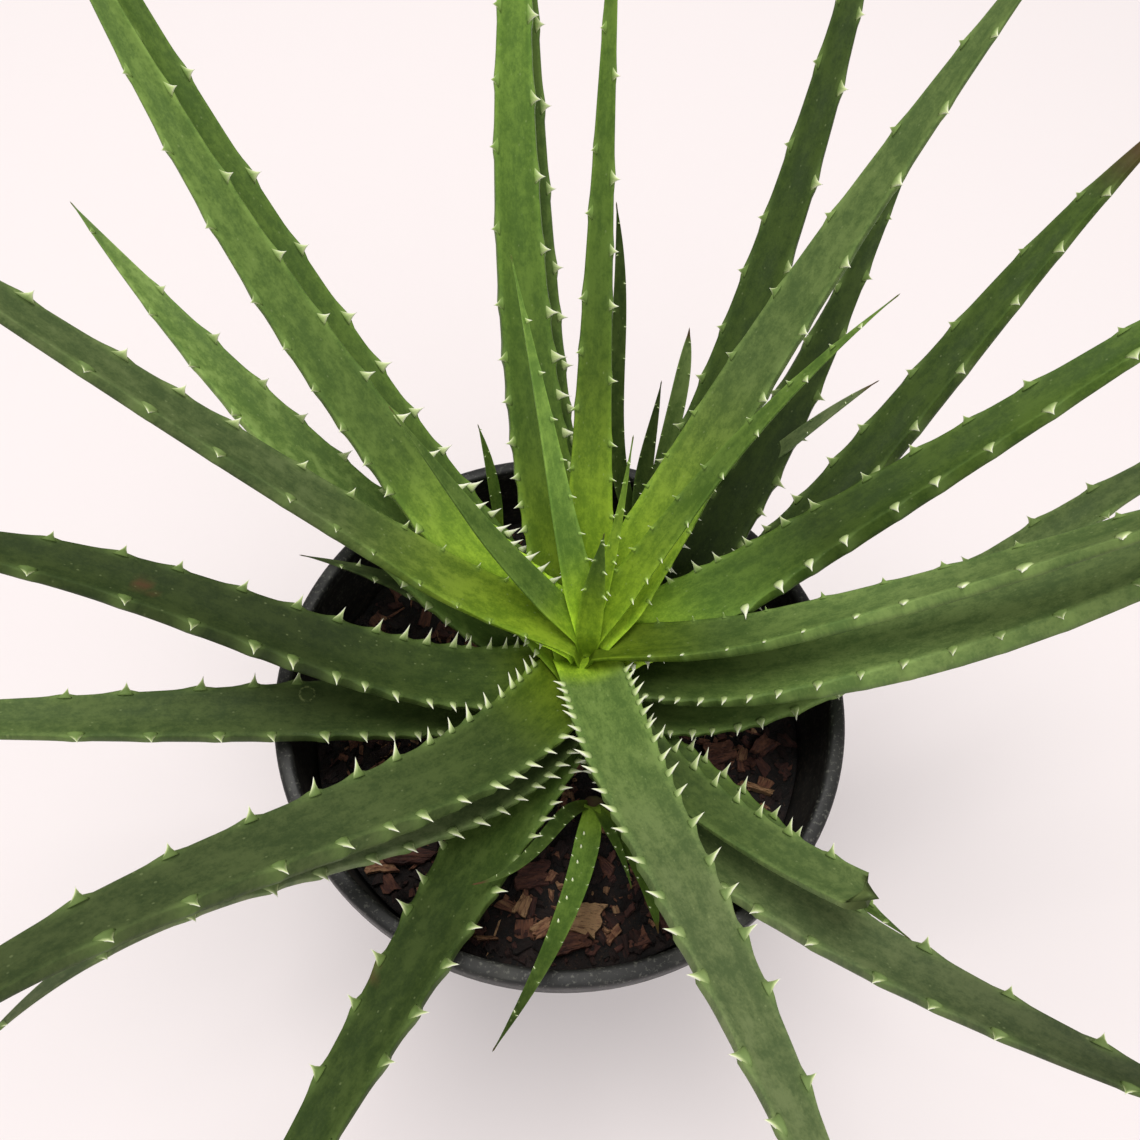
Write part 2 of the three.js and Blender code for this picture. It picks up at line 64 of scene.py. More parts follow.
# Each leaf's measures. seat: how high above the soil it leaves its stem. heading and rise: the way
# it sets off. turn, bow and lift: how that changes along it. roll: its own twist. taper: how late
# it narrows, where 0 is a leaf that is torn off. Three shades: how light its skin is near the base,
# in the middle and far out. They hold its own tone together with painted shade and painted light:
# darker where the leaf lies in shadow and lighter where light falls on it. bloom: how grey it is.
# gold: how far the heart's yellow-green reaches. spread: how far apart its first teeth stand.
COLUMNS = (
    "seat", "heading", "turn", "bow", "rise", "lift", "roll",
    "length", "width", "taper", "base_shade", "mid_shade", "far_shade", "bloom", "gold", "spread",
)
MAIN_LEAVES = {
    "heart": (50, 89, -8, 0, 62, 12, 0, 48, 9.5, 1.7, 0.97, 1.16, 1.2, 0.15, 30, 12),
    "shoot_left": (50, 110, 15, 0, 55, 9, 0, 131, 11.5, 1.2, 1.8, 2.2, 2.2, 0.12, 30, 12),
    "shoot_right": (50, 75, 10, 0, 56, 15, 0, 79, 6, 1.3, 1.43, 1.41, 1.44, 0, 60, 12),
    "young_back": (49, 95.3, -1, 0, 47, 15, 0, 246, 19.5, 0.9, 1.38, 0.7, 1.43, 0, 95, 12),
    "young_left": (49, 148, 7, 0, 45, 7, 0, 105, 11, 1.6, 1.13, 1.02, 1.3, 0.22, 20, 12),
    "young_right": (48, 56, -30, 0, 55, -14, 0, 148, 12, 1.5, 1.09, 0.97, 1.64, 0.06, 60, 12),
    "back_right": (45, 64, -23, 0, 35, 14, 0, 280, 23, 1.8, 1.37, 0.95, 1.01, 0.37, 90, 12),
    "right": (45, 6, 2, 0, 23, 24, -22, 294, 17.5, 1.7, 0.45, 1.36, 0.59, 0.42, 35, 12),
    "left_high": (48, 164.6, 8, 0, 27, 18, 2, 319, 17.5, 2, 0.81, 0.7, 0.81, 0.54, 80, 12),
    "back_left": (45, 149.4, -22, -2, 28, 13, -10, 314, 21.5, 1.9, 2.2, 0.87, 1.29, 0.15, 80, 5),
    "front": (42, -71, -11, 6, 25, 14.5, 0, 218, 22.5, 2.2, 1.29, 1.06, 1.05, 0.71, 9, 1.5),
    "right_high": (40, 27.7, -3, 0, 25, 14, 0, 320, 25, 1.3, 1.8, 0.41, 0.92, 0.02, 40, 5),
    "back": (41, 112, -25, 0, 34, 12, 0, 312, 21, 2.1, 0.69, 0.82, 1.54, 0, 70, 5),
    "back_left_under": (38, 140, -9, 0, 26, 19, 0, 336, 23, 1.5, 0.86, 0.88, 0.98, 0.05, 30, 5),
    "front_left": (36, -118, 21, -33, 25, 7, 0, 256, 25, 2, 0.46, 0.6, 0.41, 0.52, 34, 3),
    "right_low": (36, -3, 38, 0, 15, 30, -10, 300, 25, 4.5, 0.29, 1.48, 0.6, 0.44, 15, 3),
    "left": (34, -158.6, 19, -36, 17, 12, 0, 241, 22.5, 3.2, 0.55, 0.26, 0.43, 0.3, 26, 3),
    "back_under": (34, 106, -12, 0, 30, 16, 0, 325, 20.5, 1.9, 0.77, 0.85, 0.85, 0.15, 20, 5),
    "back_right_low": (27, 43.5, 21, 9, 15, 23.5, 8, 225, 23, 2.1, 0.45, 0.31, 0.4, 0.08, 15, 3),
    "back_right_far": (31, 63, 20, 0, 27.5, 15, -2, 324, 19, 2.6, 0.59, 0.5, 0.4, 0, 15, 5),
    "right_back": (29, 24, 9, 21, 18, 22, 4, 284, 19.5, 3.4, 0.52, 0.35, 0.56, 0, 15, 5),
    "left_back": (30, 152, -10, 0, 16, 13, 0, 235, 24.5, 2.5, 0.66, 1.55, 1.6, 0.24, 15, 5),
    "front_right": (30, -50, 17, 0, 10, 25, 0, 121, 15.5, 0, 0.34, 0.97, 0.96, 0.48, 15, 3),
    "front_left_under": (
        28, -106, 0.5, -43, 15.5, 10, 1, 203, 22, 1.6, 0.35, 1.15, 0.61, 0.96, 10, 3,
    ),
    "left_low": (24, -168, 3, 0, 6, 17, 0, 294, 26.5, 1.5, 0.69, 0.4, 1.13, 0.39, 15, 3),
    "right_under": (24, -12, 7, 43, 7.4, 22, 0, 303, 26, 1.5, 0.52, 1.7, 0.81, 0.47, 10, 3),
    "front_low": (19, -115, 8, 0, 10, 14, 3, 235, 27.5, 1.6, 0.92, 0.34, 0.54, 0.15, 10, 3),
    "front_right_low": (
        14, -53.9, 25, 7.5, 13.8, 16.5, -7, 234, 24, 2.3, 0.26, 1.06, 0.19, 0.72, 10, 3,
    ),
    "front_right_under": (
        19, -29, -13, -2.5, 7.5, 7, -5, 129, 16.5, 1.9, 0.63, 0.7, 0.7, 0.1, 10, 3,
    ),
    "left_tuck": (20, 141, 42, 0, 11, 5, 0, 109, 16.5, 1.4, 0.43, 0.43, 0.43, 0.51, 10, 5),
}
OFFSET_LEAVES = {
    "front_leaf_broad": (7, -92, -24, -3, 27, 6, 0, 103, 9, 1.9, 1.5, 0.36, 1.4, 0.12, 15, 9),
    "front_leaf_steep": (6, -63, -21, 0, 42, 4.5, 0, 53, 4.5, 1.5, 1.09, 0.96, 1.03, 0.17, 10, 9),
    "front_leaf_left": (5, -148, -15, 37, 57, -47, 0, 66, 5.5, 3.2, 0.54, 0.55, 0.54, 0.28, 10, 9),
    "front_leaf_right": (4, -47, -39, 0, 23, 6.5, 0, 57, 5.5, 5, 0.88, 0.88, 0.88, 0, 10, 9),
    "back_leaf_centre": (12, 98.5, -3, -18, 62, 0.5, 0, 88.5, 7, 8, 1.07, 1.73, 1.48, 0.58, 10, 9),
    "back_leaf_long": (11, 149, -27, -39, 44.5, 23, 0, 134, 6.8, 5, 0.43, 0.48, 0.62, 0.17, 10, 9),
    "back_leaf_short": (
        9, 135, -48.5, -24, 60, 14.5, 0, 74, 8.7, 1.9, 0.76, 0.74, 0.69, 0.57, 10, 9,
    ),
    "back_leaf_right": (
        8, 8.5, -1.5, 12.5, 58, -10, 0, 112.5, 6.5, 5, 0.86, 1.3, 0.92, 0.88, 10, 9,
    ),
    "back_left_leaf_single": (6, 105.5, 41, -5, 70, 2, 0, 52.5, 5, 3, 1.89, 2.2, 2.2, 0.1, 10, 9),
}

# The crown stands this far behind the lines that its leaves follow, and they come forward to them
# over this reach. The heart starts a little in front.
CROWN_BACK = 6
CROWN_REACH = 60
HEART_FORWARD = 2
SEAT_SHARE = 0.6

# Leaves seated above this height narrow to half at the crown, unless they close over it
NECK_SEAT = 43
NECK = 0.5
NECKS = {"heart": 0.85, "left_high": 0.8, "right": 0.8}

# Distances along a leaf where its three shades hold: its own tone with painted light and shade
SHADE_PLACES = (20, 90, 220)

# Length of brown at a dried tip, and brown spots: distance along, place across, radius, strength
DRY_TIPS = {
    "leaf_right_back": 30, "offset_front_leaf_left": 3, "offset_back_leaf_right": 5,
    "offset_back_leaf_centre": 3, "offset_front_leaf_right": 3,
}
SPOTS = {
    "leaf_left": ((143, 0, 3, 0.75), (140, 2, 2.2, 0.4)),
    "leaf_right_low": ((236, -10, 3.6, 0.8),),
    "leaf_front_low": ((109, -9, 2.2, 0.5), (112.5, -7.5, 1.8, 0.5)),
    "leaf_right_under": ((140, 7, 3, 0.4),),
}

# Margins that have no teeth, and how strongly pale patches show on a blade
BARE_EDGES = (
    ("leaf_front_right", -1), ("leaf_young_left", -1), ("leaf_young_left", 1),
    ("leaf_shoot_left", 1),
)
FAINT_PATCHES = 0.12
PATCHED = {
    "leaf_left_back": 1, "leaf_front_low": 0.7, "leaf_back_left": 0.5, "leaf_left_high": 0.5,
    "leaf_front_left_under": 0.4, "leaf_back_right": 0.3, "leaf_front": 0.3,
    "leaf_right_under": 0.3,
}

# Leaves are numbered, so that each has teeth and skin of its own
FIRST_LEAF = 11
NEXT_LEAF = 7
SKIN_GAP = 3.7

# A pale ring on the low left leaf: place across, distance along, and that leaf's own skin
LOW_LEFT_NUMBER = FIRST_LEAF + NEXT_LEAF * list(MAIN_LEAVES).index("left_low")
PALE_RING = (-5.5, 89, LOW_LEFT_NUMBER * SKIN_GAP)

# How far in a margin stands from the bulging underside, as a share of the half width, and the
# leaves whose underside shows more on one side
MARGIN_INSET = 0.12
TURNED_SIDES = {
    "leaf_right_back": (-1, 0.36), "leaf_right_high": (-1, 0.36), "leaf_right": (-1, 0.24),
    "leaf_right_low": (-1, 0.3), "leaf_left_high": (1, 0.3), "leaf_left": (1, 0.24),
    "leaf_front_left": (1, 0.28), "leaf_front": (-1, 0.16),
}

# Small prickles on a blade's own face: how far across, and the distances along
FACE_PRICKLES = {"offset_front_leaf_broad": (-0.45, (14, 20, 27, 35, 43, 53))}
PRICKLE = {"height": 0.8, "root": 0.5, "lean": 0, "pale": 0.2, "tilt": math.radians(60)}

# How teeth change along a leaf: distances, then a tooth's measures there. The lean is towards the
# base, and the tilt is in degrees. An offset's teeth are far smaller.
TOOTH_PLACES = (0, 45, 90, 150, 240)
TOOTH_CHANGES = {
    "height": (3.6, 5.0, 4.7, 3.2, 2.6),
    "root": (1.1, 1.4, 2.0, 2.6, 2.8),
    "lean": (0.06, 0.08, 0.08, 0.05, 0.02),
    "pale": (0.36, 0.32, 0.2, 0.08, 0.04),
    "tilt": (34, 34, 30, 22, 20),
}
WIDEST_SPACING = 28.0
OFFSET_TOOTH_SIZE = 0.17
TOOTH_SIDES = 8
TOOTH_LEVELS = np.array([0.0, 0.14, 0.32, 0.55, 0.8])

# Above these spreads the two margins' teeth differ, and teeth start late
UNEVEN_SPREAD = 4
LATE_SPREAD = 8

# Blade proportions, as shares of the blade's width or length, and the points of its section
BLADE_DEPTH = 0.42
FULL_BULGE = 0.42
HOLLOW = 0.17
SHEATH_SHARE = 0.1
SHEATH_THINNING = 0.4
UPPER_POINTS = 11
UNDER_POINTS = 11


# ---- small helpers ----
def smooth(low, high, value):
    """0 below low, 1 above high, and a soft step between."""
    share = np.clip((value - low) / (high - low), 0, 1)
    return share * share * (3 - 2 * share)


def linear(red, green, blue):
    """An sRGB colour from 0 to 255 as linear light."""
    shares = np.array([red, green, blue]) / 255
    return np.where(shares <= 0.04045, shares / 12.92, ((shares + 0.055) / 1.055) ** 2.4)


def fbm(point, octaves):
    """Soft lumps from about -1 to 1 at a point, with finer lumps on them."""
    return noise.fractal(Vector(point), 1.0, 2.0, octaves)


def circle(sides):
    """Evenly spread points on a circle of radius 1."""
    turns = [2 * math.pi * step / sides for step in range(sides)]
    return [(math.cos(turn), math.sin(turn)) for turn in turns]


def ring_faces(rings, sides, first=0):
    """Quads between rings of points that run the same way round."""
    faces = []
    for ring in range(rings - 1):
        near = first + ring * sides
        far = near + sides
        for step in range(sides):
            after = (step + 1) % sides
            faces.append((near + step, near + after, far + after, far + step))
    return faces


def tube_faces(rings, sides, first=0):
    """Quads between rings of points, and a face over either end."""
    foot = range(first, first + sides)
    top = range(first + (rings - 1) * sides, first + rings * sides)
    return ring_faces(rings, sides, first) + [tuple(reversed(foot)), tuple(top)]


def fan_faces(tip, first, sides, flipped=False):
    """Triangles between one point and a ring of points."""
    pairs = [(first + step, first + (step + 1) % sides) for step in range(sides)]
    return [(tip, after, near) if flipped else (tip, near, after) for near, after in pairs]


def make_mesh(name, points, faces):
    """A mesh in metres from points in mm."""
    mesh = bpy.data.meshes.new(name)
    mesh.from_pydata((np.asarray(points, float) * MM).tolist(), [], faces)
    return mesh


def make_object(name, data):
    """A new object in the scene."""
    made = bpy.data.objects.new(name, data)
    bpy.context.scene.collection.objects.link(made)
    return made


def make_piece(name, points, faces, material, node_names, layers=None):
    """A smooth piece from points in mm, standing for CAD nodes."""
    mesh = make_mesh(name, points, faces)
    mesh.polygons.foreach_set("use_smooth", [True] * len(mesh.polygons))
    for layer, values in (layers or {}).items():
        add_layer(mesh, layer, values)
    mesh.validate()
    mesh.update()
    mesh.materials.append(material)
    piece = make_object(name, mesh)
    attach(piece, "root")
    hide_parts(*node_names)
    return piece


def add_layer(mesh, layer, values):
    """One value, vector or colour for each point of a mesh."""
    values = np.asarray(values, float).reshape(len(values), -1)
    kinds = {1: ("FLOAT", "value"), 3: ("FLOAT_VECTOR", "vector"), 4: ("FLOAT_COLOR", "color")}
    kind, field = kinds[values.shape[1]]
    made = mesh.attributes.new(layer, kind, "POINT")
    made.data.foreach_set(field, values.ravel())


# ---- finishes ----
class Value:
    """A shader socket that takes Python's own operators."""

    def __init__(self, finish, socket):
        self.finish = finish
        self.socket = socket

    def maths(self, operation, first, second):
        return self.finish.node("Math", {"operation": operation}, {0: first, 1: second})

    def __add__(self, other):
        return self.maths("ADD", self, other)

    def __radd__(self, other):
        return self.maths("ADD", other, self)

    def __sub__(self, other):
        return self.maths("SUBTRACT", self, other)

    def __rsub__(self, other):
        return self.maths("SUBTRACT", other, self)

    def __mul__(self, other):
        return self.maths("MULTIPLY", self, other)

    def __rmul__(self, other):
        return self.maths("MULTIPLY", other, self)


class Finish:
    """A material built from nodes."""

    def __init__(self, name):
        self.material = bpy.data.materials.new(name)
        self.material.use_nodes = True
        self.tree = self.material.node_tree
        self.tree.nodes.clear()

    def node(self, kind, settings=None, inputs=None, output=0):
        """A node of a type, with its settings first and then its inputs; gives one output."""
        made = self.tree.nodes.new("ShaderNode" + kind)
        for key, setting in (settings or {}).items():
            if key == "stops":
                self.set_stops(made.color_ramp, setting)
            else:
                setattr(made, key, setting)
        for key, given in (inputs or {}).items():
            socket = made.inputs[key]
            if isinstance(given, Value):
                self.tree.links.new(given.socket, socket)
            elif socket.type == "RGBA" and len(given) == 3:
                socket.default_value = (*given, 1)
            else:
                socket.default_value = given
        return Value(self, made.outputs[output])

    @staticmethod
    def set_stops(ramp, stops):
        while len(ramp.elements) < len(stops):
            ramp.elements.new(1)
        for element, (position, color) in zip(ramp.elements, stops):
            element.position = position
            element.color = (*color, 1)

    def read(self, layer, output=2):
        """A mesh layer: output 0 is its colour, 1 its vector and 2 its number."""
        return self.node("Attribute", {"attribute_name": layer}, {}, output)

    def place(self):
        """The place in metres, from the piece's own origin."""
        return self.node("TexCoord", output=3)

    def stretched(self, place, scale):
        """A place scaled along each of its axes."""
        return self.node("VectorMath", {"operation": "MULTIPLY"}, {0: place, 1: scale})

    def lumps(self, place, scale, detail=3.0, rough=0.55):
        """Soft noise from 0 to 1."""
        return self.node(
            "TexNoise", {}, {"Vector": place, "Scale": scale, "Detail": detail, "Roughness": rough}
        )

    def cells(self, place, scale):
        """Distance from the nearest of many scattered points."""
        return self.node("TexVoronoi", {}, {"Vector": place, "Scale": scale})

    def step(self, value, low, high, to_low=0.0, to_high=1.0):
        """A soft step from to_low to to_high."""
        settings = {"interpolation_type": "SMOOTHSTEP"}
        limits = {"From Min": low, "From Max": high, "To Min": to_low, "To Max": to_high}
        return self.node("MapRange", settings, {"Value": value, **limits})

    def mix(self, share, one, other, kind="MIX"):
        """From one colour to the other."""
        settings = {"data_type": "RGBA", "blend_type": kind}
        return self.node("Mix", settings, {0: share, 6: one, 7: other}, 2)

    def bump(self, height, depth, strength=1.0):
        """Relief whose full height is a depth in metres."""
        return self.node("Bump", {}, {"Height": height, "Distance": depth, "Strength": strength})

    def surface(self, color, rough, normal=None, constants=()):
        """Ends the nodes in a surface, and gives the material."""
        inputs = {"Base Color": color, "Roughness": rough}
        if normal is not None:
            inputs["Normal"] = normal
        inputs.update(constants)
        shader = self.node("BsdfPrincipled", {}, inputs)
        out = self.tree.nodes.new("ShaderNodeOutputMaterial")
        self.tree.links.new(shader.socket, out.inputs["Surface"])
        return self.material


def leaf_skin():
    """Green skin in soft blotches, with pale patches, cream teeth and dried scars."""
    skin = Finish("aloe_leaf_skin")
    strip = skin.read("strip", 1)
    tooth = skin.read("tooth")
    wide = skin.lumps(skin.stretched(strip, (0.13, 0.055, 1)), 1.0, 3.0, 0.6)
    small = skin.lumps(skin.stretched(strip, (0.42, 0.24, 1.7)), 1.0, 3.0, 0.6)
    bands = skin.lumps(skin.stretched(strip, (0.7, 0.02, 1)), 1.0, 3.0, 0.6)
    grain = skin.lumps(skin.stretched(strip, (1.5, 0.9, 1)), 1.0, 3.0, 0.7)
    blotch = wide * 0.34 + small * 0.3 + bands * 0.12 + grain * 0.24
    tone = skin.read("tone", 0)
    deep = skin.mix(1.0, tone, (0.7, 0.75, 0.8), "MULTIPLY")
    bright = skin.mix(1.0, tone, (1.3, 1.22, 1.36), "MULTIPLY")
    patched = skin.mix(1.0, tone, (1.75, 1.55, 2.1), "MULTIPLY")
    color = skin.mix(skin.step(blotch, 0.4, 0.6), deep, bright)
    specks = skin.cells(skin.stretched(strip, (0.35, 0.22, 1)), 1.0)
    color = skin.mix(skin.step(specks, 0.12, 0.05) * 0.2, color, linear(160, 172, 120))
    pale = skin.step(wide * 0.65 + small * 0.35, 0.5, 0.62) * skin.read("patch")
    color = skin.mix(pale * 0.6, color, patched)
    from_ring = skin.node("VectorMath", {"operation": "DISTANCE"}, {0: strip, 1: PALE_RING}, 1)
    ring = skin.step(from_ring, 1.9, 2.4) * skin.step(from_ring, 3.0, 2.5)
    color = skin.mix(ring * skin.step(grain, 0.4, 0.6) * 0.5, color, linear(140, 150, 96))
    color = skin.mix(skin.read("halo") * 0.35, color, linear(140, 168, 92))
    color = skin.mix(skin.step(tooth, 0.1, 0.45) * 0.9, color, linear(206, 220, 158))
    color = skin.mix(skin.step(tooth, 0.35, 0.7) * 0.95, color, linear(250, 250, 230))
    color = skin.mix(skin.read("scar"), color, linear(86, 58, 38))
    rough = skin.step(wide, 0.3, 0.7, 0.5, 0.62) - tooth * 0.12
    height = small * 0.8 + grain * 0.5
    gloss = {"Specular IOR Level": 0.12}
    return skin.surface(color, rough, skin.bump(height, 0.0003, 0.4), gloss)


def stem_bark():
    """Green-brown stem, ringed by old leaf seats."""
    bark = Finish("aloe_stem")
    place = bark.place()
    rings = bark.lumps(bark.stretched(place, (60, 60, 420)), 1.0, 3.0)
    color = bark.mix(bark.step(rings, 0.4, 0.65), linear(112, 124, 66), linear(92, 70, 46))
    return bark.surface(color, bark.step(rings, 0.3, 0.7, 0.6, 0.85), bark.bump(rings, 0.0008))


def damp_soil():
    """Near-black potting soil with a purplish brown cast and pale fibres."""
    soil = Finish("potting_soil")
    place = soil.place()
    clods = soil.lumps(place, 160.0, 5.0, 0.65)
    grit = soil.lumps(place, 900.0, 4.0, 0.7)
    color = soil.mix(soil.step(clods, 0.4, 0.7), linear(9, 7, 7), linear(40, 27, 24))
    color = soil.mix(soil.step(grit, 0.56, 0.72) * 0.45, color, linear(104, 80, 62))
    height = clods + grit * 0.6
    return soil.surface(color, soil.step(grit, 0.3, 0.7, 0.7, 0.95), soil.bump(height, 0.0015))


def bark_finish():
    """Composted bark: each chip has its own shade, with fibres along it and painted shade in its
    hollows.
    """
    bark = Finish("bark_chips")
    shade = bark.read("shade")
    fibre = bark.read("fibre", 1)
    grain = bark.lumps(bark.stretched(fibre, (0.22, 1.6, 1.6)), 1.0, 4.0, 0.65)
    patches = bark.lumps(bark.stretched(fibre, (0.12, 0.3, 0.3)), 1.0, 2.0)
    stops = (
        (0.0, linear(16, 11, 10)),
        (0.28, linear(44, 27, 24)),
        (0.5, linear(84, 50, 43)),
        (0.75, linear(132, 88, 66)),
        (1.0, linear(186, 148, 108)),
    )
    mixed = shade + (grain - 0.5) * 0.5 + (patches - 0.5) * 0.6
    tint = bark.node("ValToRGB", {"stops": stops}, {"Fac": mixed})
    # Painted shade: the low parts of the grain, which the bump sinks, are darkened
    color = bark.mix(bark.step(grain, 0.5, 0.3) * 0.6, tint, linear(30, 19, 15))
    return bark.surface(color, bark.step(grain, 0.3, 0.7, 0.65, 0.9), bark.bump(grain, 0.0012))


def pot_plastic():
    """Black plastic, scuffed and dusty, with soil splashed inside."""
    plastic = Finish("black_pot_plastic")
    place = plastic.place()
    dust = plastic.lumps(place, 38.0, 5.0, 0.65)
    scuff = plastic.lumps(plastic.stretched(place, (30, 30, 900)), 1.0, 3.0)
    grit = plastic.lumps(place, 700.0, 3.0, 0.7)
    inside = plastic.read("inside")
    color = plastic.mix(plastic.step(dust, 0.4, 0.75) * 0.5, linear(20, 20, 20), linear(52, 52, 47))
    color = plastic.mix(plastic.step(scuff, 0.54, 0.7) * 0.3, color, linear(84, 84, 78))
    color = plastic.mix(plastic.step(grit, 0.54, 0.66) * 0.5, color, linear(104, 104, 96))
    soiled = plastic.step(grit, 0.45, 0.7) * inside
    color = plastic.mix(soiled * 0.8, color, linear(58, 42, 34))
    rough = plastic.step(dust, 0.3, 0.75, 0.5, 0.75)
    height = scuff * 0.4 + grit * 0.3
    return plastic.surface(color, rough, plastic.bump(height, 0.0004, 0.35))


def pale_floor():
    """A plain pale floor that glows a little, so that shadows on it stay faint."""
    ground = Finish("pale_floor")
    grain = ground.lumps(ground.place(), 40.0, 2.0)
    color = ground.mix(grain * 0.1, linear(213, 206, 207), linear(207, 200, 201))
    glow = {"Emission Color": linear(252, 243, 242), "Emission Strength": 0.25}
    return ground.surface(color, 0.9, None, glow)


# ---- camera, floor and light ----
def set_camera():
    """The photograph's viewpoint: above the pot's front, turned a little about its own line."""
    frame_size = 1140
    focal_length = 1000
    place = Vector((-1, -148.6, 491.7))
    across = Vector((0.9962, 0.0745, 0.0453)).normalized()
    up = Vector((-0.0872, 0.8513, 0.5175))
    back = across.cross(up).normalized()
    up = back.cross(across)
    turned = Matrix((across, up, back)).transposed().to_4x4()
    data = bpy.data.cameras.new("photo_camera")
    data.sensor_width = 36.0
    data.lens = data.sensor_width * focal_length / frame_size
    data.clip_start = 0.01
    camera = make_object("photo_camera", data)
    camera.matrix_world = Matrix.Translation(place * MM) @ turned
    bpy.context.scene.camera = camera


def set_stage():
    """A floor that lies just below the pot's foot."""
    reach = 3000
    level = -0.4
    corners = [(-reach, -reach), (reach, -reach), (reach, reach), (-reach, reach)]
    mesh = make_mesh("floor", [(x, y, level) for x, y in corners], [(0, 1, 2, 3)])
    mesh.materials.append(pale_floor())
    floor = make_object("floor", mesh)


def add_light(name, place, target, size, power, color=(1, 1, 1)):
    """A round soft lamp that looks at a target."""
    data = bpy.data.lights.new(name, "AREA")
    data.shape = "DISK"
    data.size = size
    data.energy = power
    data.color = color
    light = make_object(name, data)
    aim = Vector(target) - Vector(place)
    turned = aim.to_track_quat("-Z", "Y").to_matrix().to_4x4()
    light.matrix_world = Matrix.Translation(place) @ turned


def set_light():
    """Soft, nearly even light, shown with plain colours."""
    bpy.context.scene.view_settings.view_transform = "Standard"
    world = bpy.data.worlds.new("soft_room")
    world.use_nodes = True
    sky = world.node_tree.nodes["Background"]
    sky.inputs["Color"].default_value = (1.0, 0.98, 0.97, 1)
    sky.inputs["Strength"].default_value = 0.5
    bpy.context.scene.world = world
    add_light("overhead", (-0.3, 0.35, 2.8), (0, 0, 0.1), 1.6, 50, (1, 0.98, 0.95))
    add_light("front", (0.5, -1.6, 1.9), (0, 0, 0.1), 1.4, 9)


# ---- leaves ----
def blade_directions(row, share):
    """The directions along, across and up from the blade at shares of its length."""
    bowed = 4 * row["bow"] * share * (1 - share)
    heading = np.radians(row["heading"] + row["turn"] * share + bowed)
    rise = np.radians(row["rise"] + row["lift"] * share)
    level = np.cos(rise)
    along = np.stack([level * np.cos(heading), level * np.sin(heading), np.sin(rise)], -1)
    side = np.stack([-np.sin(heading), np.cos(heading), np.zeros_like(share)], -1)
    up = np.cross(along, side)
    roll = math.radians(row["roll"])
    rolled = side * math.cos(roll) + up * math.sin(roll)
    return along, rolled, up * math.cos(roll) - side * math.sin(roll)


class Blade:
    """One leaf's line through space and its section along it."""

    def __init__(self, name, row, start, seed):
        self.name = name
        self.row = row
        self.seed = seed
        steps = 600
        middles = (np.arange(steps) + 0.5) / steps
        strides = blade_directions(row, middles)[0] * row["length"] / steps
        self.path = np.vstack([start, start + np.cumsum(strides, 0)])
        self.path_shares = np.linspace(0, 1, steps + 1)
        distances = self.path_shares * row["length"]
        self.path[:, 1] -= row["crown_back"] * smooth(0, CROWN_REACH, distances)
        self.teeth = []
        across, places = FACE_PRICKLES.get(name, (0, ()))
        self.prickles = [{"distance": place, "edge": across, **PRICKLE} for place in places]

    def at(self, share):
        """Places on the blade's line and its directions. Shares below 0 dip into the sheath."""
        share = np.asarray(share, float)
        place = [np.interp(share, self.path_shares, self.path[:, axis]) for axis in range(3)]
        directions = blade_directions(self.row, np.maximum(share, 0))
        sunk = (np.minimum(share, 0) * self.row["length"])[..., None]
        back, down = (0.3, 0.8) if self.row["neck"] < 1 else (0.9, 0.3)
        return (np.stack(place, -1) + sunk * (back * directions[0] + (0, 0, down)), *directions)

    def half_width(self, share):
        """Half the blade's width, which narrows to its tip and to its neck."""
        row = self.row
        neck = row["neck"] + (1 - row["neck"]) * smooth(-10, 20, share * row["length"])
        share = np.maximum(share, 0)
        if row["taper"] == 0:
            return 0.5 * row["width"] * (1 - 0.15 * share)
        return np.maximum(0.5 * row["width"] * (1 - share ** row["taper"]) * neck, 0.25)

    def clasp(self, share):
        """How far the margins rise near the base, where a leaf clasps the younger ones."""
        return 0.22 * self.half_width(share) * (1 - smooth(0, 34, share * self.row["length"]))

    def shoulder(self, share, edge):
        """How far across a margin stands: far from the base the underside bulges out past it."""
        turned, inset = TURNED_SIDES.get(self.name, (0, 0))
        inset = np.where(np.sign(edge) == turned, max(inset, MARGIN_INSET), MARGIN_INSET)
        return 1 - inset * smooth(25, 110, share * self.row["length"])

    def depth(self, share):
        """How deep the underside is, less near the base."""
        grown = np.clip(share / SHEATH_SHARE, 0, 1)
        thinned = SHEATH_THINNING + (1 - SHEATH_THINNING) * grown
        return 2 * self.half_width(share) * BLADE_DEPTH * thinned

    def stations(self):
        """Shares of the length with rings of points, closer where the teeth stand close."""
        length = self.row["length"]
        close_stride, wide_stride, wide_from = 1.6, 2.6, 110
        distances = [-12.0, -9.0, -6.0, -4.0, -2.0, 0.0]
        while distances[-1] < length - 2:
            stride = close_stride if distances[-1] < wide_from else wide_stride
            distances.append(distances[-1] + stride)
        shares = np.array(distances) / length
        return np.append(shares[shares < 1 - 1 / length], 1.0)


def tooth_spacing(distance, spread):
    """How far on the next tooth stands."""
    return min(0.8 * spread + 0.15 * distance * (1 - 0.03 * spread), WIDEST_SPACING)


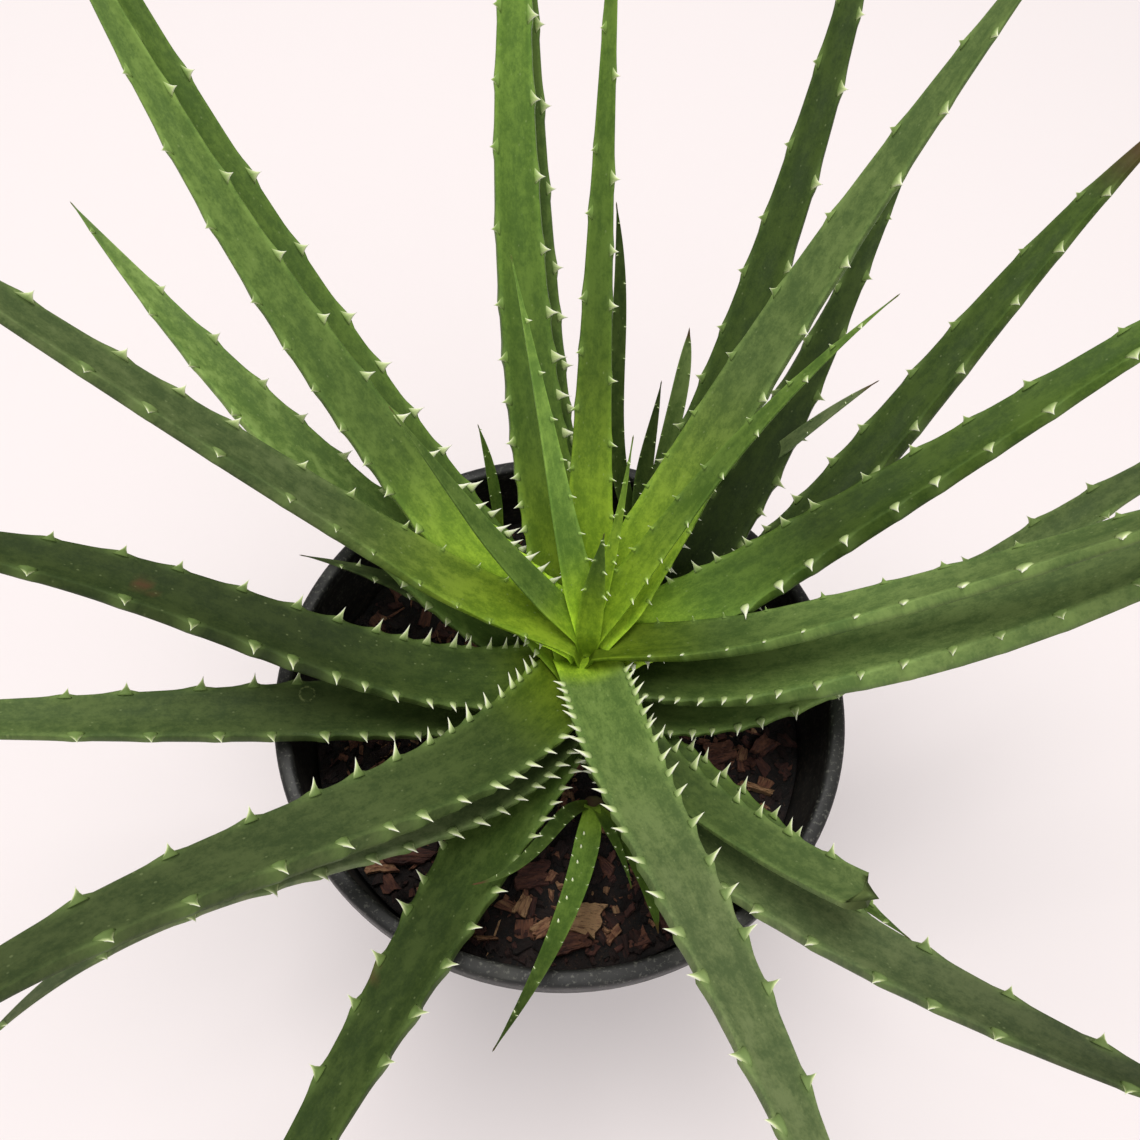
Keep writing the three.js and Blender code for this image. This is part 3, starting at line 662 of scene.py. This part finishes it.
def place_teeth(blade, size):
    """Teeth along both margins: slender spikes near an old leaf's base, low hooks further out."""
    row = blade.row
    chance = random.Random(blade.seed)
    uneven = row["spread"] > UNEVEN_SPREAD
    late = row["spread"] > LATE_SPREAD
    for edge in (-1, 1):
        if (blade.name, edge) in BARE_EDGES:
            continue
        distance = (14 if late else 4) + row["width"] * 0.25 + 0.5 * row["spread"] * chance.random()
        while distance < row["length"] * 0.96:
            half = float(blade.half_width(np.array(distance / row["length"])))
            scale = min(1.0, half / 7 + 0.25) * size * (0.85 + 0.3 * chance.random())
            scale *= 0.42 + 0.53 * smooth(45, 140, distance) if late else 1
            age = distance + 3 * (row["spread"] - 3)
            tooth = {
                measure: float(np.interp(age, TOOTH_PLACES, values))
                for measure, values in TOOTH_CHANGES.items()
            }
            tooth.update(distance=distance, edge=edge, tilt=math.radians(tooth["tilt"]))
            tooth["height"] *= scale
            tooth["root"] *= scale
            if uneven and edge > 0:
                tooth["height"] *= 0.75
            elif uneven:
                tooth["pale"] += 0.22
            if late:
                tooth["pale"] -= 0.34 * (1 - smooth(50, 120, distance))
            tooth["lean"] += 0.25 * (chance.random() - 0.5)
            tooth["tilt"] += 0.2 * (chance.random() - 0.5)
            blade.teeth.append(tooth)
            distance += tooth_spacing(distance, row["spread"]) * (0.75 + 0.5 * chance.random())


def section():
    """Points round a blade: (across, share of the underside's depth, share of the upper lift)."""
    ring = []
    for step in range(UPPER_POINTS):
        across = math.sin(math.pi * (step + 0.5) / UPPER_POINTS - math.pi / 2)
        ring.append((across, 0.0, 1.0))
    for step in range(UNDER_POINTS + 1):
        turn = math.pi * step / UNDER_POINTS
        ring.append((math.cos(turn), math.sin(turn), 0.0))
    return np.array(ring)


def blade_skin(blade, size):
    """Rings of points along the blade, and their layers."""
    row = blade.row
    shares = blade.stations()
    distances = shares * row["length"]
    at, along, side, up = blade.at(shares)
    half = blade.half_width(shares)[:, None]
    ring = section()
    lower, upper = ring[:, 1], ring[:, 2]
    across = np.broadcast_to(ring[:, 0], (len(shares), len(ring)))
    from_middle = np.abs(across)
    shoulder = blade.shoulder(shares[:, None], across)
    bulge = shoulder + (1 - shoulder) * np.minimum(lower / FULL_BULGE, 1)
    fullness = np.where(lower > 0, 0.25 + 0.75 * shoulder**4, 1)
    sideways = np.sign(across) * from_middle**fullness * bulge * half
    rim_lift = 0.07 * half * np.sqrt(np.clip(1 - from_middle**8, 0, 1))
    hollow = HOLLOW * half * (1 - across**2)
    height = upper * (rim_lift - hollow) - lower * blade.depth(shares)[:, None]
    height = height + blade.clasp(shares)[:, None] * across**2
    halo = np.zeros_like(sideways)
    swell = np.zeros_like(sideways)
    near_margin = np.clip((from_middle - 0.72) / 0.28, 0, 1) ** 1.5
    close = np.exp(-(((1 - from_middle) * half / 1.5) ** 2))
    for tooth in blade.teeth:
        mine = np.where(across * tooth["edge"] > 0, 1.0, 0.0)
        past = distances - tooth["distance"]
        width = np.where(past > 0, 1.7, 0.6) * tooth["root"] + 0.4
        reach = np.exp(-((past / width) ** 2))[:, None]
        mound = reach * near_margin * mine * 0.11
        swell += mound * (tooth["root"] + 2.2) * tooth["height"] / 2
        halo = np.maximum(halo, reach * close * mine)
    sideways = sideways + np.sign(across) * swell
    height = height + 0.5 * swell * upper
    points = at[:, None] + side[:, None] * sideways[..., None] + up[:, None] * height[..., None]
    if row["taper"] == 0:
        torn = np.interp(across, (-1, 0, 0.5, 1), (-8, 0, -5, -6)) - 3 * lower
        torn = torn * smooth(row["length"] - 16, row["length"], distances)[:, None]
        points = points + along[:, None] * torn[..., None]
    return points, skin_layers(blade, distances, sideways, across, halo, size)


def skin_layers(blade, distances, sideways, across, halo, size):
    """Colour and finish over the blade."""
    row = blade.row
    green = linear(80, 107, 38)
    olive = linear(96, 107, 72)
    gold = linear(126, 157, 36)
    reach = distances[:, None] + np.zeros_like(across)
    grey = (row["bloom"] * (0.35 + 0.65 * smooth(10, 120, reach)))[..., None]
    rim = smooth(0.7, 1.0, np.abs(across))[..., None]
    golden = (1 - smooth(0.15 * row["gold"], 1.3 * row["gold"], reach)) * (1 if size == 1 else 0.35)
    tone = green + (olive - green) * grey
    tone = tone + (gold - tone) * golden[..., None]
    tone = tone * (1 + 0.3 * rim)
    # Painted light and shade: on top of the leaf's own tone, the three shades darken or lighten it
    # where it lies in shadow or in light
    shades = (row["base_shade"], row["mid_shade"], row["far_shade"])
    tone = tone * np.interp(reach, SHADE_PLACES, shades)[..., None]
    return {
        "tone": np.concatenate([tone, np.ones((*across.shape, 1))], -1),
        "strip": np.stack([sideways, reach, np.full_like(reach, blade.seed * SKIN_GAP)], -1),
        "halo": halo,
        "tooth": np.zeros_like(reach),
        "scar": dried(blade, reach, sideways),
        "patch": np.full_like(reach, PATCHED.get(blade.name, FAINT_PATCHES)),
    }


def dried(blade, reach, sideways):
    """How brown and dry the skin is: the tip, and single spots."""
    length = blade.row["length"]
    tip = DRY_TIPS.get(blade.name, 1.5)
    if blade.row["taper"] == 0:
        return 0.12 * smooth(length - 3, length, reach)
    brown = smooth(length - 1.6 * tip, length - 0.5 * tip, reach) * (0.9 if tip > 2 else 0.5)
    for distance, offset, radius, strength in SPOTS.get(blade.name, ()):
        away = np.hypot(reach - distance, sideways - offset)
        brown = np.maximum(brown, strength * (1 - smooth(0.4 * radius, radius, away)))
    return brown


def tooth_shell(blade, tooth):
    """A closed hook that grows out of the margin, its long flank towards the blade's tip."""
    share = np.array(tooth["distance"] / blade.row["length"])
    edge = tooth["edge"]
    at, along, side, up = blade.at(share)
    out = side * edge * math.cos(tooth["tilt"]) + up * math.sin(tooth["tilt"])
    thick = np.cross(along, out)
    half = float(blade.half_width(share)) * float(blade.shoulder(share, edge))
    sunk = HOLLOW * half * (1 - edge**2)
    root = at + side * edge * (half - 0.8) + up * (float(blade.clasp(share)) + 0.05 - sunk)
    reach = tooth["height"] + 0.7
    left = 1 - TOOTH_LEVELS
    width = tooth["root"] * left**2 + 0.12
    body = (0.3 + 0.1 * tooth["height"] + 0.16 * tooth["root"]) * left**1.2 + 0.09
    spine = 0.15 * tooth["root"] * left**2 - tooth["lean"] * reach * TOOTH_LEVELS**1.5
    points = []
    for level, long_way, short_way, shift in zip(TOOTH_LEVELS, width, body, spine):
        centre = root + out * reach * level + along * shift
        for ahead, inward in circle(TOOTH_SIDES):
            points.append(centre + along * ahead * long_way + thick * inward * short_way)
    points.append(root + out * reach - along * tooth["lean"] * reach)
    outer = -edge * np.tile([inward for _, inward in circle(TOOTH_SIDES)], len(TOOTH_LEVELS))
    levels = np.repeat(TOOTH_LEVELS, TOOTH_SIDES)
    cream = levels * (0.9 + 0.45 * outer) + 0.2 * outer + tooth["pale"]
    return np.array(points), np.append(cream, 1.0)


def grow_leaf(name, row, start, seed, size, material):
    """A leaf with its teeth as one piece, standing for the solid leaf of the same name."""
    blade = Blade(name, row, start, seed)
    place_teeth(blade, size)
    skin, layers = blade_skin(blade, size)
    rings, sides = skin.shape[:2]
    count = rings * sides
    end, along = blade.at(1.0)[:2]
    end_reach = -5 if row["taper"] == 0 else 1
    points = [skin.reshape(-1, 3), [skin[0].mean(0), end + along * end_reach]]
    faces = ring_faces(rings, sides) + fan_faces(count, 0, sides, True)
    faces += fan_faces(count + 1, count - sides, sides)
    flat = {key: values.reshape(count, -1) for key, values in layers.items()}
    flat = {key: np.vstack([values, values[0], values[-1]]) for key, values in flat.items()}
    count += 2
    distances = blade.stations() * row["length"]
    for tooth in blade.teeth + blade.prickles:
        shell, cream = tooth_shell(blade, tooth)
        points.append(shell)
        tip = count + len(shell) - 1
        faces += ring_faces(len(TOOTH_LEVELS), TOOTH_SIDES, count)
        faces += fan_faces(tip, tip - TOOTH_SIDES, TOOTH_SIDES)
        faces.append(tuple(count + step for step in reversed(range(TOOTH_SIDES))))
        nearest = int(np.abs(distances - tooth["distance"]).argmin()) * sides
        own = {"tooth": cream[:, None], "halo": np.ones((len(shell), 1))}
        for key, values in flat.items():
            around = np.repeat(values[nearest : nearest + 1], len(shell), 0)
            flat[key] = np.vstack([values, own.get(key, around)])
        count += len(shell)
    make_piece(f"{name}_skin", np.vstack(points), faces, material, [name], flat)


def stem_place(rosette, share):
    """A place on a stem's middle line, seen from above."""
    foot, top = ROSETTES[rosette][:2]
    return [foot[axis] + (top[axis] - foot[axis]) * share for axis in (0, 1)]


def leaf_start(row, rosette):
    """Where a leaf's line starts, a share of the way out from its stem's middle."""
    height, radius, tip_radius = ROSETTES[rosette][2:5]
    share = min(max(row["seat"] / height, 0), 1)
    x, y = stem_place(rosette, share)
    reach = (radius + (tip_radius - radius) * share) * SEAT_SHARE
    heading = math.radians(row["heading"])
    return np.array(
        [x + reach * math.cos(heading), y + reach * math.sin(heading), SOIL_LEVEL + row["seat"]]
    )


def grow_leaves():
    """All leaves of the main plant and of its offsets."""
    material = leaf_skin()
    seed = FIRST_LEAF
    for short_name, numbers in MAIN_LEAVES.items():
        row = dict(zip(COLUMNS, numbers))
        row["crown_back"] = CROWN_BACK * row["seat"] / ROSETTES["main"][2]
        row["neck"] = NECKS.get(short_name, NECK if row["seat"] > NECK_SEAT else 1)
        start = leaf_start(row, "main")
        if short_name == "heart":
            start[1] -= HEART_FORWARD
        grow_leaf(f"leaf_{short_name}", row, start, seed, 1, material)
        seed += NEXT_LEAF
    for short_name, numbers in OFFSET_LEAVES.items():
        row = dict(zip(COLUMNS, numbers), crown_back=0, neck=NECK)
        start = leaf_start(row, short_name.split("_leaf")[0])
        name = f"offset_{short_name}"
        grow_leaf(name, row, start, seed, OFFSET_TOOTH_SIZE, material)
        seed += NEXT_LEAF


def grow_stems():
    """Short stems with the ridges of old leaf seats."""
    material = stem_bark()
    rings = 40
    sides = 28
    for name, (_, _, height, radius, tip_radius, depth) in ROSETTES.items():
        points = []
        top_drop = 18 if name == "main" else 7
        for ring in range(rings):
            z = -depth + (height - top_drop + depth) * ring / (rings - 1)
            share = max(z / height, 0)
            x, y = stem_place(name, share)
            for step, (out_x, out_y) in enumerate(circle(sides)):
                turn = 2 * math.pi * step / sides
                ridge = 0.25 * math.sin(z * 1.1 + 2 * turn) - 0.3
                reach = radius + (tip_radius - radius) * share + ridge
                points.append((x + reach * out_x, y + reach * out_y, SOIL_LEVEL + z))
        faces = tube_faces(rings, sides)
        make_piece(f"stem_{name}_skin", points, faces, material, [f"stem_{name}"])


# ---- soil ----
# Large chips and straws, in mm: place, length, width, turn, how light the bark is
LARGE_CHIPS = (
    (10, -79.5, 15, 8, 0.25, 0.58), (13, -72.5, 14.5, 10, -0.1, 1.0), (0, -77, 8, 5, 0.6, 0.82),
    (-7, -70, 7.5, 4.5, 1.2, 0.92), (-5, -60, 12.5, 8, 0.3, 0.52), (-58, -60, 12, 7, 0.2, 0.82),
    (-48, -57, 16, 5, 0.1, 0.5), (60.5, -9, 12, 8, 0.3, 0.62), (77, -5, 10, 6, 0.8, 0.56),
    (74.5, -21, 14, 1.8, -0.15, 0.95), (-18, -82, 8, 1.2, 0.1, 0.9), (36, -42, 12, 8, 0.9, 0.6),
    (-40, -46, 10, 6, 0.4, 0.5), (60, 12, 11, 7, 1.1, 0.6), (-65, 20, 12, 7, 0.2, 0.6),
    (-30, -78, 9, 5, 0.8, 0.5), (42, -70, 9, 6, 2, 0.48), (-20, 60, 12, 6, 0.5, 0.6),
    (66, 40, 11, 6, 2.2, 0.5), (-74, -14, 12, 6, 1.7, 0.66), (55, -52, 10, 5, 2.6, 0.58),
)


def soil_height(x, y):
    """The soil's level: a low mound with hollows."""
    mound = 3 * math.exp(-(x * x + y * y) / 2500)
    hollows = 1.4 * math.sin(x / 11 + 1) * math.cos(y / 9)
    crumbs = 0.9 * math.sin((x + y) / 5.5)
    return SOIL_LEVEL - 2 + mound + hollows + crumbs


def inner_radius(z):
    """How far the inside of the pot's wall stands from the middle at a height."""
    share = min((z - WALL - 1) / (WALL_TURN - WALL - 1), 1)
    bottom = FOOT_RADIUS - WALL
    return bottom + (RIM_RADIUS - LIP_WIDTH - bottom) * share


def fine_soil_height(x, y):
    """The soil's level with its clods and crumbs."""
    clods = 1.1 * fbm((x / 6, y / 6, 3.0), 4)
    crumbs = 0.5 * fbm((x / 1.9, y / 1.9, 7.0), 2)
    return soil_height(x, y) + clods + crumbs


def lay_soil():
    """The bed of soil, closed below by the pot's floor."""
    sides = 200
    rings = 64
    bottom = WALL + 1.3
    low_reach = inner_radius(bottom) - 1
    top_reach = inner_radius(SOIL_EDGE) - 1
    points = [(low_reach * x, low_reach * y, bottom) for x, y in circle(sides)]
    for ring in range(rings, 0, -1):
        reach = top_reach * ring / rings
        places = [(reach * x, reach * y) for x, y in circle(sides)]
        points += [(x, y, fine_soil_height(x, y)) for x, y in places]
    faces = ring_faces(rings + 1, sides)
    faces.append(tuple(reversed(range(sides))))
    points.append((0, 0, fine_soil_height(0, 0)))
    faces += fan_faces(len(points) - 1, rings * sides, sides)
    make_piece("soil_bed", points, faces, damp_soil(), ["soil"])


class Litter:
    """Many small closed shapes gathered into one piece."""

    def __init__(self):
        self.points = []
        self.faces = []
        self.shade = []
        self.fibre = []

    def add(self, local, faces, turned, place, shade):
        """One shape, turned and put in its place, with bark grain of its own."""
        first = len(self.points)
        seed = first * 0.37 % 50
        for point in local:
            self.points.append(tuple(turned @ Vector(point) + Vector(place)))
            self.fibre.append((point[0], point[1] + seed, point[2] + seed))
            self.shade.append(shade)
        self.faces += [tuple(first + corner for corner in face) for face in faces]

    def finish(self, name, material):
        """All the shapes as one flat-sided piece."""
        layers = {"shade": self.shade, "fibre": self.fibre}
        piece = make_piece(name, self.points, self.faces, material, ["soil"], layers)
        piece.data.polygons.foreach_set("use_smooth", [False] * len(self.faces))


def slab(length, width, thick, chance, steps=4, rows=3):
    """A split flake of bark: each strand along it ends where it broke."""
    seed = chance.random() * 100
    skew = length * chance.uniform(-0.15, 0.15)
    taper = chance.uniform(-0.3, 0.3)
    bend = thick * chance.uniform(-0.5, 0.5)
    strands = [
        (chance.uniform(0.72, 1.05), chance.uniform(0.72, 1.05), thick * chance.uniform(-0.2, 0.2))
        for _ in range(rows + 1)
    ]
    points = []
    for top in (1, -1):
        for row, (back, front, rise) in enumerate(strands):
            v = 2 * row / rows - 1
            for step in range(steps + 1):
                u = 2 * step / steps - 1
                x = u * length / 2 * (front if u > 0 else back) + skew * v
                y = v * width / 2 * (1 - taper * u + 0.16 * fbm((u * 2.3, seed, v), 2))
                rough = 0.2 * thick * fbm((u * 2, v * 3, seed), 2)
                points.append((x, y, top * thick / 2 + rise + bend * u * u + rough))
    stride = steps + 1
    layer = stride * (rows + 1)
    faces = []
    for row in range(rows):
        for step in range(steps):
            a = row * stride + step
            faces.append((a, a + 1, a + stride + 1, a + stride))
            faces.append(tuple(layer + corner for corner in (a + stride, a + stride + 1, a + 1, a)))
    border = list(range(stride))
    border += [row * stride + steps for row in range(1, rows + 1)]
    border += [rows * stride + step for step in range(steps - 1, -1, -1)]
    border += [row * stride for row in range(rows - 1, 0, -1)]
    for place, corner in enumerate(border):
        after = border[(place + 1) % len(border)]
        faces.append((after, corner, layer + corner, layer + after))
    return points, faces


def tumbled(chance, tilt):
    """Any heading, and a tilt up to a limit."""
    sideways = Matrix.Rotation(chance.uniform(-tilt, tilt), 3, "X")
    tilted = sideways @ Matrix.Rotation(chance.uniform(-tilt, tilt), 3, "Y")
    return Matrix.Rotation(chance.uniform(0, 2 * math.pi), 3, "Z") @ tilted


def on_soil(reach, turn, margin):
    """A place on the soil, kept clear of the pot's wall by a margin."""
    reach = min(reach, inner_radius(SOIL_EDGE) - 2 - margin)
    return reach * math.cos(turn), reach * math.sin(turn)


def scatter_bark():
    """Loose bark on the soil: the large chips, then small ones, then straws."""
    small_chips = 2400
    straws = 70
    chance = random.Random(5)
    litter = Litter()
    for x, y, length, width, heading, shade in LARGE_CHIPS:
        points, faces = slab(length, width, 1.2 + 0.14 * length, chance, 9, 6)
        tilt = Matrix.Rotation(chance.uniform(-0.15, 0.25), 3, "Y")
        turned = Matrix.Rotation(heading, 3, "Z") @ tilt
        litter.add(points, faces, turned, (x, y, soil_height(x, y) + 2.0), shade)
    for _ in range(small_chips):
        turn = chance.uniform(0, 2 * math.pi)
        length = 1.2 + 7.5 * chance.random() ** 2.4
        x, y = on_soil(88 * math.sqrt(chance.random()), turn, length / 2)
        thick = chance.uniform(0.7, 1.8)
        points, faces = slab(length, length * chance.uniform(0.3, 0.75), thick, chance)
        # Painted shade: small chips close to the pot's wall are darkened, as the wall shades the
        # soil there
        painted_wall_shade = smooth(78, 90, math.hypot(x, y))
        shade = (0.06 + 0.86 * chance.random() ** 1.5) * (1 - 0.55 * painted_wall_shade)
        place = (x, y, fine_soil_height(x, y) + chance.uniform(0.1, 1.0))
        litter.add(points, faces, tumbled(chance, 0.6), place, shade)
    for _ in range(straws):
        turn = chance.uniform(0, 2 * math.pi)
        length = chance.uniform(4, 13)
        x, y = on_soil(84 * math.sqrt(chance.random()), turn, length / 2)
        points, faces = slab(length, 0.7, 0.6, chance, 4, 1)
        place = (x, y, fine_soil_height(x, y) + 1.1)
        litter.add(points, faces, tumbled(chance, 0.15), place, chance.uniform(0.35, 1))
    litter.finish("bark_litter", bark_finish())


# ---- pot ----
def pot_profile():
    """The section of wall, floor and down-turned lip, as (radius, height, how soiled)."""
    rim, top, foot = RIM_RADIUS, POT_HEIGHT, FOOT_RADIUS
    skirt = 1.8
    wall_top = rim - LIP_WIDTH
    under_lip = wall_top + WALL
    clean = [(0, 0), (foot - 8, 0), (foot - 2, 0), (foot - 0.6, 0.5), (foot, 2)]
    for step in range(1, 24):
        share = step / 24
        clean.append((foot + (under_lip - foot) * share, 2 + (LIP_FOOT - 6) * share))
    clean += [
        (under_lip, WALL_TURN), (under_lip, top - 2.6), (under_lip + 0.4, top - 2.2),
        (rim - skirt, top - 2.2), (rim - skirt, LIP_FOOT), (rim - 0.4, LIP_FOOT),
        (rim, LIP_FOOT + 0.4), (rim, top - 3), (rim - 0.1, top - 1.5), (rim - 0.5, top - 0.5),
        (rim - 1.4, top), (wall_top + 1.4, top), (wall_top + 0.5, top - 0.3),
        (wall_top, top - 1.2),
    ]
    profile = [(radius, z, 0) for radius, z in clean] + [(wall_top, top - 6, 0.1)]
    for step in range(13):
        share = step / 12
        z = WALL_TURN - (LIP_FOOT - 7 - WALL) * share
        profile.append((inner_radius(z), z, 0.3 + 0.7 * min(1, share * 8)))
    profile.append((0, WALL + 1, 1))
    return profile


def mould_pot():
    """The pot as one moulding, with its drain holes."""
    sides = 144
    profile = pot_profile()
    points = [(0, 0, profile[0][1])]
    soiled = [0]
    for radius, z, inside in profile[1:-1]:
        points += [(radius * x, radius * y, z) for x, y in circle(sides)]
        soiled += [inside] * sides
    points.append((0, 0, profile[-1][1]))
    soiled.append(1)
    rings = len(profile) - 2
    faces = ring_faces(rings, sides, 1) + fan_faces(0, 1, sides, True)
    faces += fan_faces(len(points) - 1, 1 + (rings - 1) * sides, sides)
    pot = make_piece("pot_shell", points, faces, pot_plastic(), ["pot"], {"inside": soiled})
    drill_holes(pot)


def drill_holes(pot):
    """Five round drain holes through the floor."""
    sides = 32
    hole_reach = 46
    hole_radius = 6
    points = []
    faces = []
    for middle_x, middle_y in circle(5):
        first = len(points)
        for z in (-5, 8):
            for out_x, out_y in circle(sides):
                x = hole_reach * middle_x + hole_radius * out_x
                y = hole_reach * middle_y + hole_radius * out_y
                points.append((x, y, z))
        faces += tube_faces(2, sides, first)
    drill = make_object("drill", make_mesh("drill", points, faces))
    cut = pot.modifiers.new("holes", "BOOLEAN")
    cut.operation = "DIFFERENCE"
    cut.object = drill
    cut.solver = "EXACT"
    bpy.context.view_layer.update()
    shaped = pot.evaluated_get(bpy.context.evaluated_depsgraph_get())
    solid = bpy.data.meshes.new_from_object(shaped)
    pot.modifiers.clear()
    pot.data = solid
    bpy.data.objects.remove(drill)


set_camera()
set_stage()
set_light()
grow_stems()
grow_leaves()
lay_soil()
scatter_bark()
mould_pot()

bpy.context.view_layer.update()
